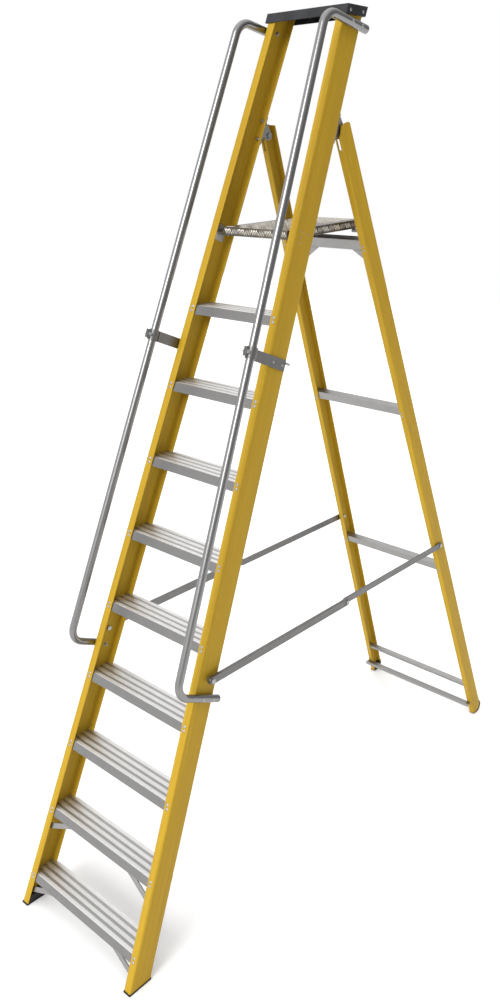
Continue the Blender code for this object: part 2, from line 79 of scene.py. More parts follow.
bar_rise = high("rear_bar_2").z - high("rear_bar_3").z
RUN_R = (low("rear_bar_3").y - low("rear_bar_2").y) / bar_rise
TAPER_R = (high("rear_bar_3").x - high("rear_bar_2").x) / bar_rise
BAR_GAP = 0.0003
REAR_Y = high("rear_front_bar").y + BAR_GAP + high("rear_front_bar").z * RUN_R
HALF_R = high("rear_leg_right").x + TAPER_R * low("rear_leg_right").z
DEPTH_R = 0.0645
DECK_ROD = Vector(next(j for j in frame["joints"] if j["name"] == "platform_fold")["pos_m"])

COS_F, SIN_F = 1 / math.hypot(1, RUN_F), RUN_F / math.hypot(1, RUN_F)
COS_R, SIN_R = 1 / math.hypot(1, RUN_R), RUN_R / math.hypot(1, RUN_R)


def half_f(z):
    """Half the front frame's width at a height."""
    return HALF_F - TAPER_F * z


def axes(origin, along, depth):
    """Matrix of the right-hand channel's own frame."""
    along, depth = Vector(along).normalized(), Vector(depth).normalized()
    m = Matrix((depth.cross(along), depth, along)).transposed().to_4x4()
    m.translation = Vector(origin)
    return m


STILE = axes((HALF_F, FRONT_Y, 0), (-TAPER_F, RUN_F, 1), (0, COS_F, -SIN_F))
LEG = axes((HALF_R, REAR_Y, 0), (-TAPER_R, -RUN_R, 1), (0, COS_R, SIN_R))
FLIP = Matrix.Diagonal((-1, 1, 1, 1))


def tread_top(k):
    return high("tread_%d" % k).z


def stile_s(z):
    """Distance along the stile's front face of a height."""
    return z / STILE.col[2].z


# ---------------------------------------------------------------- node helper for the materials


class Surface:
    """A Principled material and the few node shapes that the finishes here are made of."""

    def __init__(self, name, metallic=0.0, specular=0.5, coat=0.0, coat_rough=0.2):
        self.mat = bpy.data.materials.new(name)
        self.mat.use_nodes = True
        self.tree = self.mat.node_tree
        self.shader = self.tree.nodes["Principled BSDF"]
        self.shader.inputs["Metallic"].default_value = metallic
        self.shader.inputs["Specular IOR Level"].default_value = specular
        self.shader.inputs["Coat Weight"].default_value = coat
        self.shader.inputs["Coat Roughness"].default_value = coat_rough
        self.place = self.add("ShaderNodeTexCoord").outputs["Object"]

    def add(self, kind, **settings):
        node = self.tree.nodes.new(kind)
        for key, value in settings.items():
            setattr(node, key, value)
        return node

    def link(self, value, socket):
        if isinstance(value, bpy.types.NodeSocket):
            self.tree.links.new(value, socket)
        else:
            socket.default_value = value

    def stretch(self, sx, sy, sz, turn=(0, 0, 0)):
        """Object coordinates scaled along each axis, then turned."""
        node = self.add("ShaderNodeMapping")
        self.link(self.place, node.inputs["Vector"])
        node.inputs["Rotation"].default_value = turn
        node.inputs["Scale"].default_value = (sx, sy, sz)
        return node.outputs["Vector"]

    def noise(self, vector, detail=4.0, rough=0.55, distortion=0.0):
        node = self.add("ShaderNodeTexNoise")
        self.link(vector, node.inputs["Vector"])
        settings = {"Scale": 1.0, "Detail": detail, "Roughness": rough, "Distortion": distortion}
        for key, value in settings.items():
            node.inputs[key].default_value = value
        return node.outputs["Fac"]

    def cells(self, scale):
        node = self.add("ShaderNodeTexVoronoi")
        self.link(self.place, node.inputs["Vector"])
        node.inputs["Scale"].default_value = scale
        return node.outputs["Distance"]

    def ramp(self, fac, *stops):
        """Values or colours over fac: (position, value) pairs."""
        node = self.add("ShaderNodeValToRGB")
        self.link(fac, node.inputs["Fac"])
        band = node.color_ramp
        while len(band.elements) < len(stops):
            band.elements.new(0.5)
        for element, (position, value) in zip(band.elements, stops):
            element.position = position
            element.color = (*value, 1) if isinstance(value, tuple) else (value, value, value, 1)
        return node.outputs["Color"]

    def span(self, fac, a, b):
        """fac 0..1 turned into a..b."""
        node = self.add("ShaderNodeMapRange")
        self.link(fac, node.inputs["Value"])
        node.inputs["To Min"].default_value = a
        node.inputs["To Max"].default_value = b
        return node.outputs["Result"]

    def calc(self, operation, a, b):
        node = self.add("ShaderNodeMath", operation=operation)
        self.link(a, node.inputs[0])
        self.link(b, node.inputs[1])
        return node.outputs[0]

    def weigh(self, a, share, b):
        """a and b added up, a with its share of 1 and b with the rest."""
        return self.calc("ADD", self.calc("MULTIPLY", a, share), self.calc("MULTIPLY", b, 1 - share))

    def mix(self, fac, a, b):
        node = self.add("ShaderNodeMix", data_type="RGBA")
        self.link(fac, node.inputs["Factor"])
        for key, value in (("A", a), ("B", b)):
            socket = next(s for s in node.inputs if s.name == key and s.type == "RGBA")
            self.link((*value, 1) if isinstance(value, tuple) else value, socket)
        return next(s for s in node.outputs if s.type == "RGBA")

    def bump(self, height, depth, below=None):
        """Bump of the given depth in metres, on top of the one below."""
        node = self.add("ShaderNodeBump")
        node.inputs["Strength"].default_value = 1.0
        node.inputs["Distance"].default_value = depth
        self.link(height, node.inputs["Height"])
        if below is not None:
            self.link(below, node.inputs["Normal"])
        return node.outputs["Normal"]

    def done(self, colour, rough, normal=None):
        self.link((*colour, 1) if isinstance(colour, tuple) else colour, self.shader.inputs["Base Color"])
        self.link(rough, self.shader.inputs["Roughness"])
        if normal is not None:
            self.link(normal, self.shader.inputs["Normal"])
        return self.mat


# ---------------------------------------------------------------- materials


def fibreglass(name, lean=0.0):
    """Yellow pultrusion: resin with glass streaks along z, turned by the lean, a veil and fine pits."""
    s = Surface(name, specular=0.12, coat=0.02, coat_rough=0.30)
    s.place = s.stretch(1, 1, 1, (lean, 0, 0))
    streak = s.noise(s.stretch(210, 210, 1.6), detail=5, rough=0.6)
    veil = s.noise(s.stretch(70, 70, 16), detail=6, rough=0.62, distortion=0.6)
    cloud = s.noise(s.stretch(9, 9, 1.3), detail=3)
    speck = s.noise(s.stretch(900, 900, 420), detail=2)
    dark, middle, pale = (0.385, 0.232, 0.012), (0.458, 0.288, 0.016), (0.520, 0.340, 0.020)
    colour = s.ramp(streak, (0.28, dark), (0.52, middle), (0.78, pale))
    colour = s.mix(s.span(veil, 0.0, 0.30), colour, (0.33, 0.190, 0.022))
    stain = s.calc("MULTIPLY", s.ramp(cloud, (0.35, 0.0), (0.75, 1.0)), 0.22)
    colour = s.mix(stain, colour, (0.30, 0.168, 0.025))
    colour = s.mix(s.ramp(speck, (0.66, 0.0), (0.80, 0.30)), colour, (0.33, 0.20, 0.03))
    rough = s.span(s.weigh(streak, 0.5, veil), 0.34, 0.58)
    normal = s.bump(streak, 0.00022)
    normal = s.bump(veil, 0.00028, normal)
    normal = s.bump(speck, 0.00006, normal)
    return s.done(colour, rough, normal)


def drawn_metal(name, tone, rough_low, rough_high, lines, wear=0.12, depth=0.00004):
    """Aluminium or steel with fine lines along one local axis; lines = noise scale on x, y, z."""
    s = Surface(name, metallic=1.0)
    line = s.noise(s.stretch(*lines), detail=4, rough=0.65)
    haze = s.noise(s.stretch(26, 26, 26), detail=5, rough=0.6)
    spot = s.noise(s.stretch(240, 240, 240), detail=3)
    dark = tuple(c * 0.72 for c in tone)
    colour = s.mix(s.span(line, 0.0, 0.55), tone, dark)
    stain = s.calc("MULTIPLY", s.ramp(haze, (0.45, 0.0), (0.72, 1.0)), wear * 2)
    colour = s.mix(stain, colour, dark)
    colour = s.mix(s.ramp(spot, (0.68, 0.0), (0.80, wear)), colour, tuple(c * 0.35 for c in tone))
    rough = s.span(s.weigh(line, 0.55, haze), rough_low, rough_high)
    return s.done(colour, rough, s.bump(line, depth, s.bump(haze, depth * 2)))


def zinc_plate(name):
    """Passivated zinc: crystalline patches with faint warm and cool tints."""
    s = Surface(name, metallic=1.0)
    patch = s.cells(260)
    haze = s.noise(s.stretch(60, 60, 60), detail=5)
    tint = s.mix(s.ramp(haze, (0.35, 0.0), (0.7, 1.0)), (0.38, 0.39, 0.42), (0.44, 0.42, 0.37))
    colour = s.mix(s.span(patch, 0.0, 0.35), tint, (0.22, 0.23, 0.25))
    return s.done(colour, s.span(haze, 0.26, 0.50), s.bump(haze, 0.00008))


def moulded(name, tone, grain, rough_low, rough_high, specular):
    """Moulded plastic or rubber with a pebbled grain."""
    s = Surface(name, specular=specular)
    pebble = s.cells(grain)
    haze = s.noise(s.stretch(18, 18, 18), detail=5)
    dust = s.noise(s.stretch(130, 130, 130), detail=4)
    pale = tuple(min(c * 1.9 + 0.012, 1) for c in tone)
    colour = s.mix(s.ramp(haze, (0.42, 0.0), (0.75, 0.6)), tone, pale)
    colour = s.mix(s.ramp(dust, (0.58, 0.0), (0.80, 0.35)), colour, tuple(c * 2.6 + 0.02 for c in tone))
    normal = s.bump(pebble, 0.00025, s.bump(haze, 0.0004))
    return s.done(colour, s.span(haze, rough_low, rough_high), normal)


def chequer_metal(name):
    """Rolled plate: dull mottled ground, brighter where soles have polished it."""
    s = Surface(name, metallic=1.0)
    roll = s.noise(s.stretch(14, 260, 260), detail=5)
    mottle = s.noise(s.stretch(46, 46, 46), detail=6, rough=0.65)
    colour = s.mix(s.ramp(mottle, (0.38, 0.0), (0.66, 1.0)), (0.17, 0.15, 0.125), (0.060, 0.050, 0.040))
    colour = s.mix(s.span(roll, 0.0, 0.4), colour, (0.22, 0.20, 0.175))
    return s.done(colour, s.span(mottle, 0.24, 0.46), s.bump(mottle, 0.00012))


GRP = fibreglass("stile_fibreglass")
LEG_GRP = fibreglass("leg_fibreglass", -math.atan(RUN_R))
# one tread alloy in three tones: the dark tone on the fronts, sides and undersides is painted shade, the
# pale rib tops are a painted highlight, and the mid-grey grooves are painted shade in the recesses
SHADED_TREAD_ALLOY = drawn_metal("shaded_extruded_aluminium", (0.255, 0.252, 0.250), 0.30, 0.48, (3, 420, 420))
SHADED_GROOVE_ALLOY = drawn_metal("shaded_groove_aluminium", (0.52, 0.515, 0.51), 0.36, 0.52, (3, 420, 420))
LIT_RIB_ALLOY = drawn_metal("lit_rib_top_aluminium", (0.86, 0.855, 0.85), 0.34, 0.52, (3, 420, 420))
TUBE_ALLOY = drawn_metal("drawn_tube", (0.27, 0.266, 0.266), 0.22, 0.36, (380, 380, 5), wear=0.08,
                         depth=0.000008)
BAR_ALLOY = drawn_metal("crossbar_aluminium", (0.33, 0.325, 0.32), 0.30, 0.48, (4, 360, 360))
STAY_ALLOY = drawn_metal("stay_aluminium", (0.20, 0.197, 0.195), 0.34, 0.52, (300, 4, 300), wear=0.2)
ZINC = zinc_plate("zinc_plate")
CLAMP_STEEL = drawn_metal("dull_clamp_steel", (0.20, 0.195, 0.19), 0.36, 0.54, (300, 4, 300), wear=0.2)
DECK_ALLOY = chequer_metal("chequer_aluminium")
# the raised chequer bars are given a much brighter tone than the plate under them
DECK_BARS = drawn_metal("bright_chequer_bars", (0.70, 0.66, 0.58), 0.24, 0.40, (120, 120, 120), wear=0.45)
PLASTIC = moulded("black_moulding", (0.012, 0.0125, 0.015), 520, 0.40, 0.60, 0.30)
RUBBER = moulded("foot_rubber", (0.011, 0.011, 0.011), 340, 0.62, 0.82, 0.35)

# ---------------------------------------------------------------- mesh helpers


def new_object(name, bm, mat, place=None):
    bmesh.ops.recalc_face_normals(bm, faces=bm.faces)
    me = bpy.data.meshes.new(name)
    bm.to_mesh(me)
    bm.free()
    me.materials.append(mat)
    ob = bpy.data.objects.new(name, me)
    scene.collection.objects.link(ob)
    if place is not None:
        ob.matrix_world = place
    return ob


def soften(ob, width, limit):
    """Rounded edges, where a width is given, and smooth shading between the sharp ones."""
    if width:
        mod = ob.modifiers.new("edges", "BEVEL")
        mod.width = width
        mod.segments = 2
        mod.limit_method = "ANGLE"
        mod.angle_limit = math.radians(limit)
    me = ob.data
    for face in me.polygons:
        face.use_smooth = True
    me.set_sharp_from_angle(angle=math.radians(limit if width == 0 else 50))
    return ob


def piece(name, bm, mat, body, slot, replaced=(), place=None, edge=0, limit=32):
    """A finished piece: made, softened and set on its body, with the nodes it stands for hidden; slot is
    not used.
    """
    ob = soften(new_object(name, bm, mat, place), edge, limit)
    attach(ob, body)
    if replaced:
        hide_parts(*replaced)
    return ob


def pair(name, build, mat, body, slot, replaced=(), place=Matrix.Identity(4), **look):
    """The right-hand piece from build(), and its mirror image on the left."""
    for side in ("right", "left"):
        bm = build()
        spot = place
        if side == "left":
            bmesh.ops.transform(bm, matrix=FLIP, verts=bm.verts)
            bmesh.ops.reverse_faces(bm, faces=bm.faces)
            spot = FLIP @ place @ FLIP
        nodes = ["%s_%s" % (node, side) for node in replaced]
        piece("%s_%s" % (name, side), bm, mat, body, slot, nodes, spot, **look)


def arc(cx, cy, r, a0, a1, n):
    turn = [math.radians(a0 + (a1 - a0) * i / n) for i in range(n + 1)]
    return [(cx + r * math.cos(t), cy + r * math.sin(t)) for t in turn]


def prism(outline, a, b, axis="z"):
    """Closed prism of a 2-D outline: axis z takes (x, y), and axis x takes (y, z)."""
    put = {"z": lambda p, t: (p[0], p[1], t), "x": lambda p, t: (t, p[0], p[1])}[axis]
    bm = bmesh.new()
    lo = [bm.verts.new(put(p, a)) for p in outline]
    hi = [bm.verts.new(put(p, b)) for p in outline]
    for i in range(len(outline)):
        j = (i + 1) % len(outline)
        bm.faces.new((lo[i], lo[j], hi[j], hi[i]))
    bm.faces.new(lo[::-1])
    bm.faces.new(hi)
    return bm


def block(x0, x1, y0, y1, z0, z1):
    """Box between three pairs of limits."""
    return prism([(x0, y0), (x1, y0), (x1, y1), (x0, y1)], z0, z1)


def circle(n):
    return [(math.cos(2 * math.pi * i / n), math.sin(2 * math.pi * i / n)) for i in range(n)]


def lathe(steps, n, place):
    """Solid of revolution about local z from (height, radius) steps; a zero radius closes to a point."""
    bm = bmesh.new()
    rings = []
    for h, r in steps:
        if r <= 0:
            rings.append([bm.verts.new((0, 0, h))])
        else:
            rings.append([bm.verts.new((r * x, r * y, h)) for x, y in circle(n)])
    for a, b in zip(rings, rings[1:]):
        for i in range(n):
            j = (i + 1) % n
            corners = [a[i % len(a)], a[j % len(a)], b[j % len(b)], b[i % len(b)]]
            bm.faces.new(list(dict.fromkeys(corners)))
    for ring in (rings[0], rings[-1]):
        if len(ring) > 1:
            bm.faces.new(ring)
    bm.transform(place)
    return bm


def merged(*parts):
    """Several bmeshes as one."""
    out = bmesh.new()
    for part in parts:
        me = bpy.data.meshes.new("part")
        part.to_mesh(me)
        part.free()
        out.from_mesh(me)
        bpy.data.meshes.remove(me)
    return out


def cut(bm, point, normal):
    """Drop what lies on the normal's side of the plane, and close the cut."""
    geom = bm.verts[:] + bm.edges[:] + bm.faces[:]
    made = bmesh.ops.bisect_plane(bm, geom=geom, plane_co=point, plane_no=normal, clear_outer=True,
                                  dist=1e-7)
    rim = [e for e in made["geom_cut"] if isinstance(e, bmesh.types.BMEdge)]
    bmesh.ops.contextual_create(bm, geom=rim)
    return bm


def carve(bm, tools, operation="DIFFERENCE"):
    """Exact boolean of a bmesh with others."""
    ob = new_object("carve", bm, GRP)
    for tool in tools:
        other = new_object("tool", tool, GRP)
        mod = ob.modifiers.new("b", "BOOLEAN")
        mod.solver = "EXACT"
        mod.operation = operation
        mod.object = other
        bpy.context.view_layer.update()
        me = bpy.data.meshes.new_from_object(ob.evaluated_get(bpy.context.evaluated_depsgraph_get()))
        ob.modifiers.clear()
        ob.data = me
        bpy.data.objects.remove(other, do_unlink=True)
    out = bmesh.new()
    out.from_mesh(ob.data)
    bpy.data.objects.remove(ob, do_unlink=True)
    return out


def face_z(normal, point, spin=0.0):
    """Matrix that stands a lathe on a surface: local z along the normal."""
    z = Vector(normal).normalized()
    x = Vector((1, 0, 0)) if abs(z.x) < 0.9 else Vector((0, 0, 1))
    x = (x - z * x.dot(z)).normalized()
    m = Matrix((x, z.cross(x), z)).transposed().to_4x4()
    m.translation = Vector(point)
    return m @ Matrix.Rotation(spin, 4, "Z")


def rivet(point, normal, r, h=0.0017):
    """Dome-headed blind rivet with its mandrel hole."""
    dome = [(0, r), (h * 0.25, r * 0.985), (h * 0.55, r * 0.86), (h * 0.85, r * 0.60), (h, r * 0.36),
            (h * 0.80, r * 0.26), (h * 0.30, r * 0.24), (h * 0.42, 0)]
    return lathe([(-0.0006, r * 0.9)] + dome, 18, face_z(normal, point))


ACROSS_FLATS, WASHER_THICK = 0.010, 0.0014


def hex_bolt(point, normal, h, washer, tail=0.0):
    """Hexagon head on a washer of the given radius; tail is a stub of thread beyond it."""
    r, w, soft = ACROSS_FLATS / math.sqrt(3), WASHER_THICK, 0.0003
    place = face_z(normal, point, 0.2)
    disc = [(0, washer - soft), (soft, washer), (w - soft, washer), (w, washer - soft)]
    parts = [lathe(disc, 24, place), lathe([(w, r), (w + h * 0.82, r), (w + h, r * 0.86)], 6, place)]
    if tail:
        end = w + h + tail
        parts.append(lathe([(w + h * 0.9, r * 0.50), (end - 0.0006, r * 0.50), (end, r * 0.42)], 14, place))
    return merged(*parts)


def channel(flange, depth, t, r=0.0045, n=7):
    """C section, web outer face on x = 0, flanges towards -x, front face on y = 0, soft flange tips."""
    ri, e = 0.0014, t * 0.38
    out = arc(-flange + e, t - e, e, 180, 270, 3)
    out += arc(-r, r, r, -90, 0, n) + arc(-r, depth - r, r, 0, 90, n)
    out += arc(-flange + e, depth - e, e, 90, 180, 3) + arc(-flange + e, depth - t + e, e, 180, 270, 2)
    out += arc(-t - ri, depth - t - ri, ri, 90, 0, 3) + arc(-t - ri, t + ri, ri, 0, -90, 3)
    return out + arc(-flange + e, t - e, e, 90, 180, 2)[:-1]


# ---------------------------------------------------------------- front frame


def stile():
    """Channel made too long, and cut level at the sole and under the cap."""
    bm = prism(channel(FLANGE_F, DEPTH_F, WALL), -0.1, 3.5)
    inverse = STILE.inverted()
    up = inverse.to_3x3() @ Vector((0, 0, 1))
    cut(bm, inverse @ Vector((HALF_F, FRONT_Y, STILE_TOP)), up)
    return cut(bm, inverse @ Vector((HALF_F, FRONT_Y, SOLE)), -up)


pair("stile", stile, GRP, "front_frame", "yellow_fibreglass", ["front_stile"], STILE)

TREAD_DEPTH, TREAD_FACE, TREAD_WALL = 0.0943, 0.030, 0.0026
BANDS, RIBS = 4, 5
GROOVE, GROOVE_DROP, RIB_DROP = 0.010, 0.0019, 0.00045
UNDER = -TREAD_WALL - 0.0016                       # level of the top plate's underside
STIFFENER = -TREAD_WALL - 0.0110                   # level of the lower edge of the ribs under it


def tread_top_line():
    """Walking surface as (depth, height): ribbed bands, grooves between them and rounded edges."""
    d = TREAD_DEPTH
    band = (d - GROOVE * (BANDS - 1)) / BANDS
    line = []
    for g in range(BANDS):
        start = (band + GROOVE) * g
        for i in range(RIBS):
            x0, w = start + band * i / RIBS, band / RIBS
            if g == 0 and i == 0:
                line += [(0.0, -0.0016), (0.0005, -0.0005), (0.0016, 0)]
            else:
                line += [(x0 + w * 0.18, 0)]
            if g == BANDS - 1 and i == RIBS - 1:
                line += [(d - 0.0016, 0), (d - 0.0005, -0.0005), (d, -0.0016)]
            elif i < RIBS - 1:
                line += [(x0 + w * 0.78, 0), (x0 + w, -RIB_DROP)]
            else:
                line += [(x0 + w * 0.85, 0)]
        if g < BANDS - 1:
            end = start + band
            line += [(end + 0.0004, -GROOVE_DROP), (end + GROOVE - 0.0004, -GROOVE_DROP)]
    return line


def tread_outline():
    """Extruded step: the walking surface, lips turned down at the stile's slope and ribs below."""
    d, h, t, run = TREAD_DEPTH, TREAD_FACE, TREAD_WALL, RUN_F
    back = [(d - h * run, -h), (d - h * run - t, -h), (d - t - 0.005 * run, UNDER)]
    ribs = []
    for share in (0.70, 0.36):
        x = d * share
        ribs += [(x + 0.0012, UNDER), (x + 0.0010, STIFFENER), (x - 0.0010, STIFFENER), (x - 0.0012, UNDER)]
    front = [(t - h * run, -h), (0.0008 - h * run, -h), (-h * run, -h + 0.0008)]
    for share in (0.72, 0.48, 0.24):               # shallow lines across the front face
        z = -h * share
        front += [(z * run, z - 0.0007), (z * run + 0.0004, z), (z * run, z + 0.0007)]
    return tread_top_line() + back + ribs + [(t + 0.0002, UNDER)] + front


def step(k):
    """One tread, notched round the rear flanges of the stiles, with a painted highlight on the rib tops and
    painted shade in the grooves and on the fronts, sides and underside.
    """
    z = tread_top(k)
    node = "tread_%d" % k
    y0 = high(node).y - TREAD_DEPTH
    xe = high(node).x
    bm = prism([(y0 + y, z + q) for y, q in tread_outline()], -xe, xe, "x")
    flange = FRONT_Y + z * RUN_F + (DEPTH_F - WALL) / COS_F - 0.0006
    notch = [(flange + 0.03 * RUN_F, z + 0.03), (flange + 0.1, z + 0.03), (flange + 0.1, z - 0.06),
             (flange - 0.06 * RUN_F, z - 0.06)]
    xm = half_f(z) - FLANGE_F - 0.0028
    bm = carve(bm, [prism(notch, xm, 0.4, "x"), prism(notch, -0.4, -xm, "x")])
    centre = Vector((0, y0, z))
    bm.transform(Matrix.Translation(-centre))
    bm.normal_update()
    for face in bm.faces:                          # material 1, a painted highlight, on the rib tops, and 2, painted shade, down in the grooves
        spot = face.calc_center_median()
        if spot.z > -0.0022 and 0.001 < spot.y < TREAD_DEPTH - 0.001:
            face.material_index = 1 if spot.z > -0.0007 else 2
    ob = piece("step_%d" % k, bm, SHADED_TREAD_ALLOY, "front_frame", "tread_aluminium", [node],
               Matrix.Translation(centre))
    ob.data.materials.append(LIT_RIB_ALLOY)
    ob.data.materials.append(SHADED_GROOVE_ALLOY)


for k in range(1, TREADS + 1):
    step(k)


def tread_rivets():
    """Two rivets, one above the other, through the front flange into each tread."""
    return merged(*[rivet((-0.0175, 0, stile_s(tread_top(k) - drop)), (0, -1, 0), 0.0054)
                    for k in range(1, TREADS + 1) for drop in (0.0030, 0.0165)])


pair("tread_rivets", tread_rivets, ZINC, "front_frame", "zinc_steel", (), STILE)

# handrails: bends fall a little short of a right angle, so the returns spread towards their cut ends
TUBE_R, TUBE_WALL = 0.0134, 0.0018
RAIL_OUT, RAIL_BEND = 0.105, 0.055                 # axis in front of the stile, and radius of the bends
RAIL_TAIL = 0.097                                  # depth of the cut ends behind the stile's front face
RAIL_LOW, RAIL_HIGH = 1.0375, 3.2245               # places of the cut ends along the stile
RAIL_ENDS = ((RAIL_LOW, 3.5, 1), (RAIL_HIGH, 12.0, -1))     # place, flare in degrees, way to the other end
RAIL_BOLTS, RAIL_NUT = (0.015, 0.064), 0.050       # depths behind the front face
CLAMP_AT, CLAMP_HALF, CLAMP_THICK = 2.150, 0.018, 0.0038
STRAP_FACE, EAR = 0.0046, 0.0054                   # strap's outer face, and half of the ears' thickness


def rail_v(s):
    """How far the tube's axis stands out from the web at a place along the stile."""
    return TUBE_R + 0.0008 + 0.0034 * (s - RAIL_LOW) / (RAIL_HIGH - RAIL_LOW)


def rail_end(tail, flare, way, n=16):
    """Tail and bend as (depth, along); way is 1 at the bottom and -1 at the top."""
    e, r, u0 = math.radians(flare), RAIL_BEND, -RAIL_OUT
    start = tail + way * math.tan(e) * (RAIL_TAIL - (u0 + r - r * math.sin(e)))
    centre = start + way * r * math.cos(e)
    turn = [(math.pi / 2 - e) * (1 - i / n) for i in range(n + 1)]
    return [(RAIL_TAIL, tail)] + [(u0 + r - r * math.cos(a), centre - way * r * math.sin(a)) for a in turn]


def return_s(tail, flare, way, u):
    """Place along the stile of a handrail return at depth u."""
    return tail + way * math.tan(math.radians(flare)) * (RAIL_TAIL - u)


def tube(path, r, wall, n=28):
    """Hollow tube, open at both ends, along a path that nowhere runs along x."""
    bm = bmesh.new()
    shells = []
    for rad in (r, r - wall):
        rings = []
        for i, p in enumerate(path):
            t = (path[min(i + 1, len(path) - 1)] - path[max(i - 1, 0)]).normalized()
            e1 = (Vector((1, 0, 0)) - t * t.x).normalized()
            e2 = t.cross(e1)
            rings.append([bm.verts.new(p + (e1 * x + e2 * y) * rad) for x, y in circle(n)])
        shells.append(rings)
    for rings in shells:
        for a, b in zip(rings, rings[1:]):
            for k in range(n):
                bm.faces.new((a[k], a[(k + 1) % n], b[(k + 1) % n], b[k]))
    for end in (0, -1):
        a, b = shells[0][end], shells[1][end]
        for k in range(n):
            bm.faces.new((a[k], a[(k + 1) % n], b[(k + 1) % n], b[k]))
    return bm


def handrail():
    """Bent tube from its lower cut end to its upper one."""
    bottom, top = [rail_end(*end) for end in RAIL_ENDS]
    a, b = bottom[-1][1], top[-1][1]
    straight = [(-RAIL_OUT, a + (b - a) * i / 8) for i in range(1, 8)]
    return tube([Vector((rail_v(s), u, s)) for u, s in bottom + straight + top[::-1]], TUBE_R, TUBE_WALL)


pair("handrail", handrail, TUBE_ALLOY, "front_frame", "tube_aluminium", ["handrail"], STILE,
     edge=0.0004, limit=60)


def handrail_bolts():
    """Domed bolt heads on the returns, with a nut on the inside of the web for each return."""
    dome = [(-0.0030, 0.0055), (0.0006, 0.0055), (0.0016, 0.0046), (0.0022, 0.0028), (0.0024, 0)]
    parts = []
    for end in RAIL_ENDS:
        for u in RAIL_BOLTS:
            s = return_s(*end, u)
            parts.append(lathe(dome, 18, face_z((1, 0, 0), (rail_v(s) + TUBE_R - 0.0006, u, s))))
        nut = (-WALL, RAIL_NUT, return_s(*end, RAIL_NUT))
        parts.append(hex_bolt(nut, (-1, 0, 0), 0.0045, 0.0075, tail=0.003))
    return merged(*parts)


pair("handrail_bolts", handrail_bolts, ZINC, "front_frame", "zinc_steel", (), STILE, edge=0.0002)


def clamp():
    """Strap along the web, bent round the tube and closed by a bolt in front of it."""
    v, u, r = rail_v(CLAMP_AT), -RAIL_OUT, TUBE_R + 0.0005
    low_end, high_end = CLAMP_AT - CLAMP_HALF, CLAMP_AT + CLAMP_HALF
    bm = prism(arc(v, u, r + CLAMP_THICK, 0, 360, 40)[:-1], low_end, high_end)
    strap = block(0.0008, STRAP_FACE, u + 0.0120, 0.0800, low_end, high_end)
    ears = block(v - EAR, v + EAR, u - r - 0.0175, u - r + 0.0005,
                 CLAMP_AT - CLAMP_HALF * 0.8, CLAMP_AT + CLAMP_HALF * 0.8)
    bm = carve(carve(bm, [strap], "UNION"), [ears], "UNION")
    hole = prism(arc(v, u, r, 0, 360, 40)[:-1], CLAMP_AT - 0.03, CLAMP_AT + 0.03)
    slit = block(v - 0.0009, v + 0.0009, u - 0.05, u, CLAMP_AT - 0.03, CLAMP_AT + 0.03)
    return carve(bm, [hole, slit])


pair("handrail_clamp", clamp, CLAMP_STEEL, "front_frame", "zinc_steel", ["handrail_bracket"], STILE,
     edge=0.0007)


def clamp_fixings():
    """Bolt and nut on the ears, stud at the back of the strap and the strap's two rivets."""
    v, u = rail_v(CLAMP_AT), -RAIL_OUT - TUBE_R - 0.0095
    stud = face_z((0, 1, 0), (0.0042, 0.0790, CLAMP_AT + 0.0085))
    parts = [hex_bolt((v + EAR, u, CLAMP_AT), (1, 0, 0), 0.0048, 0.0072),
             hex_bolt((v - EAR, u, CLAMP_AT), (-1, 0, 0), 0.0050, 0.0072, tail=0.004),
             lathe([(0, 0.0040), (0.0200, 0.0040), (0.0210, 0.0032)], 14, stud)]
    parts += [rivet((STRAP_FACE, back, CLAMP_AT), (1, 0, 0), 0.0046, 0.0012) for back in (0.020, 0.066)]
    return merged(*parts)


pair("clamp_fixings", clamp_fixings, ZINC, "front_frame", "zinc_steel", (), STILE, edge=0.0002)

# ---------------------------------------------------------------- nodes that keep their CAD shape


def finish_node(node, mat, width=0.0005):
    """Softened edges and a finish of its own for a node of the CAD."""
    ob = frame["nodes"][node]
    weld = ob.modifiers.new("weld", "WELD")
    weld.merge_threshold = 0.00001
    mod = ob.modifiers.new("edges", "BEVEL")
    mod.width = width
    mod.segments = 2
    mod.limit_method = "ANGLE"
    mod.angle_limit = math.radians(35)
    for slot in ob.material_slots:
        slot.material = mat


for side in ("left", "right"):
    for node in ("knee_brace_1", "knee_brace_2", "gusset"):
        finish_node("%s_%s" % (node, side), BAR_ALLOY, 0.0008)
    for node in ("hinge_bracket", "rod_bracket", "hinge_pin", "stay_pin_front", "stay_pin_rear",
                 "knuckle_pin", "deck_rest"):
        finish_node("%s_%s" % (node, side), ZINC)
    for node in ("front_foot", "rear_foot"):
        finish_node("%s_%s" % (node, side), RUBBER, 0.0008)
    finish_node("stay_front_%s" % side, STAY_ALLOY, 0.0014)
    finish_node("stay_rear_%s" % side, STAY_ALLOY, 0.0008)
    finish_node("rear_leg_%s" % side, LEG_GRP, 0.0004)
for node in ("rear_bar_1", "rear_bar_2", "rear_bar_3", "rear_bar_4", "rear_front_bar"):
    finish_node(node, BAR_ALLOY)
finish_node("platform_rod", ZINC)
finish_node("platform", DECK_ALLOY, 0.0012)
finish_node("top_cap", PLASTIC, 0.0022)

# ---------------------------------------------------------------- rivets and bolts on those nodes


def cap_rivets():
    """Two rivets in each end of the cap."""
    lo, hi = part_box("top_cap")
    z = lo.z + 0.0125
    front = lo.y + (z - lo.z) * RUN_F
    return merged(*[rivet((hi.x, front + run, z), (1, 0, 0), 0.0048, 0.0016) for run in (0.020, 0.084)])


pair("cap_rivets", cap_rivets, ZINC, "front_frame", "zinc_steel")


HINGE_BOLTS = 2.884, 2.944                         # places along the stile


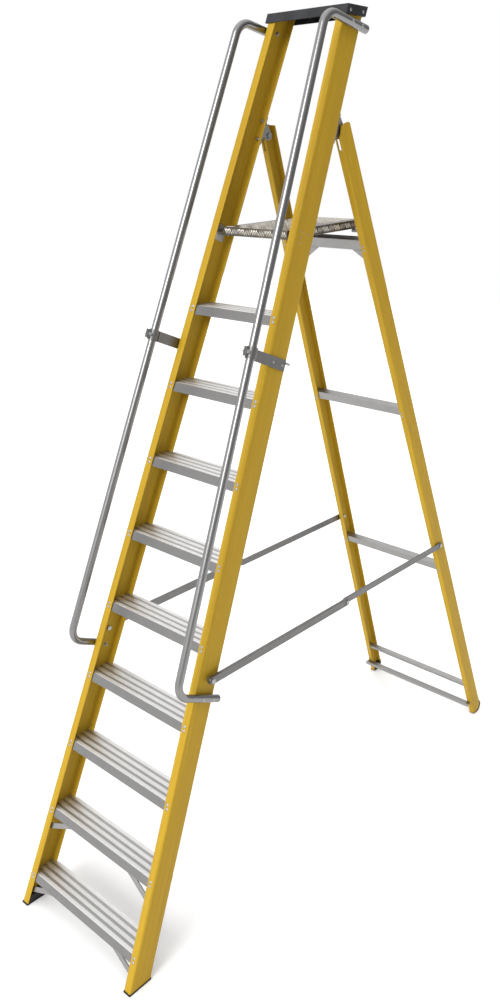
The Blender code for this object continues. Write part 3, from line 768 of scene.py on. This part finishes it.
def hinge_bolts():
    """Nuts inside the rear flange and heads on the hinge brackets behind it."""
    parts = []
    for s in HINGE_BOLTS:
        parts.append(hex_bolt((-0.0160, DEPTH_F - WALL, s), (0, -1, 0), 0.0042, 0.0070, tail=0.002))
        parts.append(rivet((-0.0200, DEPTH_F + 0.0044, s), (0, 1, 0), 0.0050, 0.0018))
    return merged(*parts)


pair("hinge_bolts", hinge_bolts, ZINC, "front_frame", "zinc_steel", (), STILE, edge=0.0002)


def bar_rivets():
    """Rivets through both flanges of the rear legs, two for each crossbar and one for the lowest."""
    heads = []
    for n in (1, 2, 3, 4):
        lo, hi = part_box("rear_bar_%d" % n)
        mid = (lo.z + hi.z) / 2
        s = (mid - DEPTH_R * SIN_R) / LEG.col[2].z
        for shift in (-0.007, 0.007) if n < 4 else (0.0,):
            heads.append(rivet((-0.0130, DEPTH_R, s + shift), (0, 1, 0), 0.0044, 0.0020))
            heads.append(rivet((-0.0130, 0, s + shift + 0.010), (0, -1, 0), 0.0042, 0.0014))
    return merged(*heads)


pair("bar_rivets", bar_rivets, ZINC, "rear_frame", "zinc_steel", (), LEG)


def rod_rivets():
    """Rivets of the platform rod brackets, heads on the outside of the web."""
    lo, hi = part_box("rod_bracket_right")
    z = (lo.z + hi.z) / 2
    mid = STILE.inverted() @ Vector((half_f(z), (lo.y + hi.y) / 2, z))
    spots = ((-0.016, 0.016), (-0.016, -0.002), (-0.016, -0.020), (0.016, 0.016))
    return merged(*[rivet((0, mid.y + u, mid.z + s), (1, 0, 0), 0.0030, 0.0008) for u, s in spots])


pair("rod_rivets", rod_rivets, ZINC, "front_frame", "zinc_steel", (), STILE)

# ---------------------------------------------------------------- chequer bars on the deck

DECK_TILT = math.radians(2.5)
DECK_TOP, DECK_LIP = 0.020, 0.028
DECK_FRONT, DECK_BACK = -0.0245, 0.385
DECK_HALF_F, DECK_HALF_R = 0.140, 0.128            # half widths at its front and back
CELL, GROUP_BARS, BAR_STEP = 0.0300, 4, 0.0074
BAR_WIDTH, BAR_HEIGHT = 0.0038, 0.0009
DECK = Matrix.Translation(DECK_ROD) @ Matrix.Rotation(DECK_TILT, 4, "X")


def raised_bar(bm, place, length):
    """One lens-shaped bar of the pattern, standing on the local z = 0 plane."""
    a, b = length / 2, BAR_WIDTH / 2
    rim = [(-a, 0), (-a * 0.5, -b * 0.86), (0, -b), (a * 0.5, -b * 0.86),
           (a, 0), (a * 0.5, b * 0.86), (0, b), (-a * 0.5, b * 0.86)]
    base = [bm.verts.new(place @ Vector((x, y, -0.0002))) for x, y in rim]
    crown = [bm.verts.new(place @ Vector((x * 0.62, y * 0.42, BAR_HEIGHT))) for x, y in rim]
    for i in range(8):
        bm.faces.new((base[i], base[(i + 1) % 8], crown[(i + 1) % 8], crown[i]))
    bm.faces.new(crown)
    bm.faces.new(base[::-1])


def chequer():
    """Groups of four bars, turned one way and the other by turns."""
    bm = bmesh.new()
    spread = [(i - (GROUP_BARS - 1) / 2) * BAR_STEP for i in range(GROUP_BARS)]
    taper = (DECK_HALF_F - DECK_HALF_R) / (DECK_BACK - DECK_FRONT)
    slope = math.atan(taper)

    def group(place, degrees, length):
        turn = Matrix.Rotation(math.radians(degrees), 4, "Z")
        for shift in spread:
            raised_bar(bm, place @ Matrix.Translation((shift, 0, 0)) @ turn, length)

    rows = int((DECK_BACK - DECK_FRONT) / CELL)
    for i in range(rows):
        y = DECK_FRONT + (DECK_BACK - DECK_FRONT) * (i + 0.5) / rows
        cols = int((DECK_HALF_F - taper * (y - DECK_FRONT) - CELL / 2 - 0.003) / CELL)
        for j in range(-cols, cols + 1):
            quarter = math.pi / 2 if (i + j) % 2 else 0
            place = Matrix.Translation((j * CELL, y, DECK_TOP)) @ Matrix.Rotation(quarter, 4, "Z")
            group(place, 65, 0.0235)
    middle = DECK_TOP - DECK_LIP / 2
    cols = int((DECK_HALF_F - CELL / 2) / CELL)
    for j in range(-cols, cols + 1):
        place = Matrix.Translation((j * CELL, DECK_FRONT, middle)) @ Matrix.Rotation(math.pi / 2, 4, "X")
        group(place, 62 if j % 2 else 118, 0.0225)
    for side in (1, -1):
        for i in range(1, rows):
            y = DECK_FRONT + (DECK_BACK - DECK_FRONT) * (i + 0.5) / rows
            place = Matrix.Translation((side * (DECK_HALF_F - (y - DECK_FRONT) * taper), y, middle))
            for angle, axis in ((side * slope, "Z"), (side * math.pi / 2, "Y"), (math.pi / 2, "Z")):
                place = place @ Matrix.Rotation(angle, 4, axis)
            group(place, 62 if i % 2 else 118, 0.0215)
    return bm


piece("deck_chequer", chequer(), DECK_BARS, "platform", "deck_aluminium", (), DECK)

# ---------------------------------------------------------------- floor, light and camera


def studio():
    """Pale floor, and a sky that is white to the camera and brighter from the front left for the rest."""
    bm = bmesh.new()
    bmesh.ops.create_grid(bm, x_segments=2, y_segments=2, size=14)
    s = Surface("pale_floor", specular=0.2)
    mottle = s.noise(s.stretch(3, 3, 3), detail=4)
    mat = s.done(s.mix(mottle, (0.93, 0.93, 0.93), (0.96, 0.96, 0.955)), s.span(mottle, 0.65, 0.8))
    floor = new_object("studio_floor", bm, mat, Matrix.Translation((0, 0, -0.0005)))
    world = bpy.data.worlds.new("studio")
    scene.world = world
    world.use_nodes = True
    tree = world.node_tree
    back = tree.nodes["Background"]
    back.inputs["Color"].default_value = (1, 1, 1, 1)
    toward = tree.nodes.new("ShaderNodeVectorMath")
    toward.operation = "DOT_PRODUCT"
    tree.links.new(tree.nodes.new("ShaderNodeTexCoord").outputs["Generated"], toward.inputs[0])
    toward.inputs[1].default_value = Vector((-0.74, -0.42, 0.52)).normalized()
    glow = tree.nodes.new("ShaderNodeMapRange")
    glow.interpolation_type = "SMOOTHSTEP"
    tree.links.new(toward.outputs["Value"], glow.inputs["Value"])
    for key, value in (("From Min", -0.75), ("From Max", 0.80), ("To Min", 0.36), ("To Max", 1.20)):
        glow.inputs[key].default_value = value
    seen = tree.nodes.new("ShaderNodeLightPath").outputs["Is Camera Ray"]
    strength = tree.nodes.new("ShaderNodeMix")
    tree.links.new(seen, strength.inputs["Factor"])
    tree.links.new(glow.outputs["Result"], strength.inputs["A"])
    strength.inputs["B"].default_value = 1.0
    tree.links.new(strength.outputs["Result"], back.inputs["Strength"])


def lamp(name, toward, strength, spread):
    """Sun lamp shining from the given direction."""
    data = bpy.data.lights.new(name, "SUN")
    data.energy = strength
    data.angle = math.radians(spread)
    ob = bpy.data.objects.new(name, data)
    scene.collection.objects.link(ob)
    ob.rotation_euler = (-Vector(toward)).to_track_quat("-Z", "Y").to_euler()


def view():
    """Camera in front of the ladder and to its right, looking down a little."""
    data = bpy.data.cameras.new("view")
    data.sensor_width = 36
    data.sensor_fit = "AUTO"
    data.lens = 32.06
    data.shift_x, data.shift_y = -0.0110, 0.0344
    data.clip_end = 60
    ob = bpy.data.objects.new("view", data)
    scene.collection.objects.link(ob)
    ob.location = (2.0735, -2.4462, 2.5717)
    ob.rotation_euler = (math.radians(67.3), math.radians(-0.07), math.radians(42.2))
    scene.camera = ob


studio()
lamp("key", (0.10, -0.80, 0.52), 1.95, 30)
lamp("top", (0.0, 0.15, 1.0), 0.55, 80)
view()
scene.view_settings.view_transform = "Standard"
